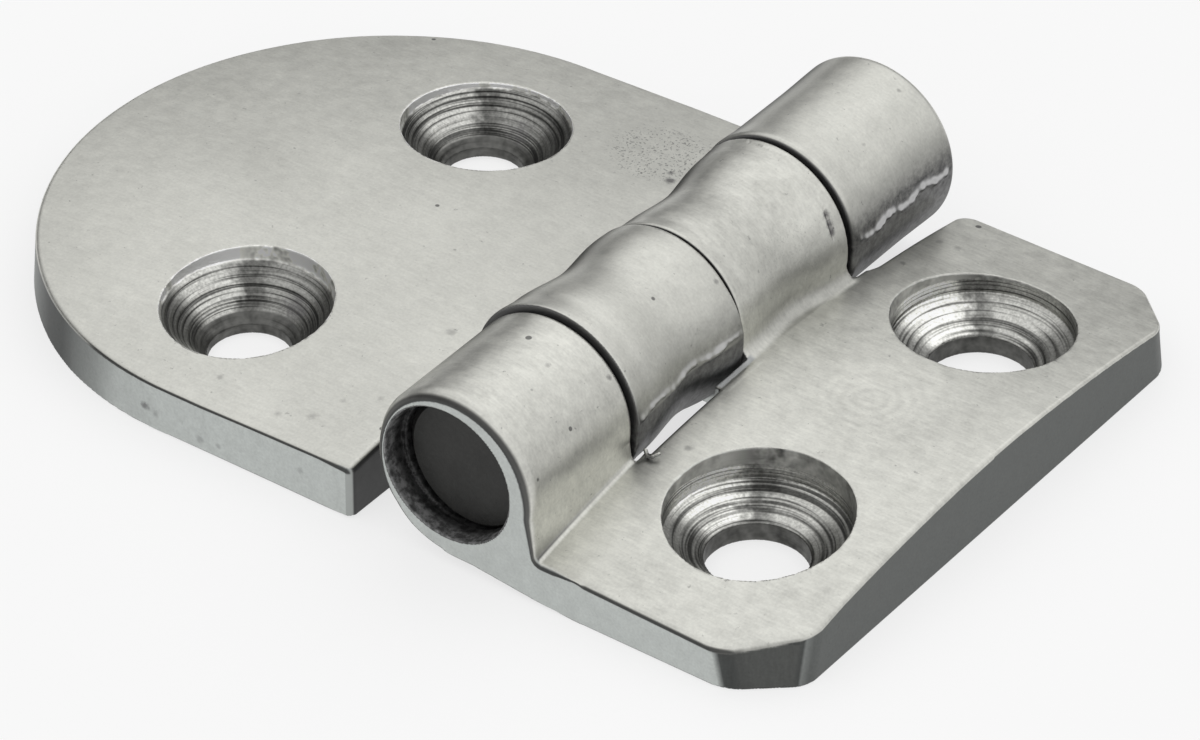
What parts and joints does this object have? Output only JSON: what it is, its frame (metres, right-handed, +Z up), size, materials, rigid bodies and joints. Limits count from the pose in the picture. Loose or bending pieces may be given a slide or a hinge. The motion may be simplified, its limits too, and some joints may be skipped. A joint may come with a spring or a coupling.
{
  "type": "counter hinge",
  "caption": "Short heavy hinge with one round leaf, one square leaf with clipped corners, countersunk screw holes and a fixed pin in a four-knuckle barrel.",
  "frame": {"origin": "the point of the mounting face straight under the pin, half way along the barrel", "axes": "+X towards the square leaf, +Y along the pin to the back, +Z up from the mounting face"},
  "size_m": [0.0596, 0.04, 0.011],
  "materials": {
    "round_leaf_steel": "satin, polished over a cast surface, lightly pitted",
    "square_leaf_steel": "satin, polished over a cast surface, lightly pitted",
    "pin_steel": "dull, dark and unpolished"
  },
  "bodies": {
    "round_leaf": {"round_leaf": "round_leaf_steel", "pin": "pin_steel"},
    "square_leaf": {"square_leaf": "square_leaf_steel"}
  },
  "joints": [
    {"name": "fold", "type": "hinge", "parent": "round_leaf", "child": "square_leaf", "pos_m": [0, 0, 0.0058], "axis": [0, -1, 0], "range_deg": [-85, 180]}
  ]
}
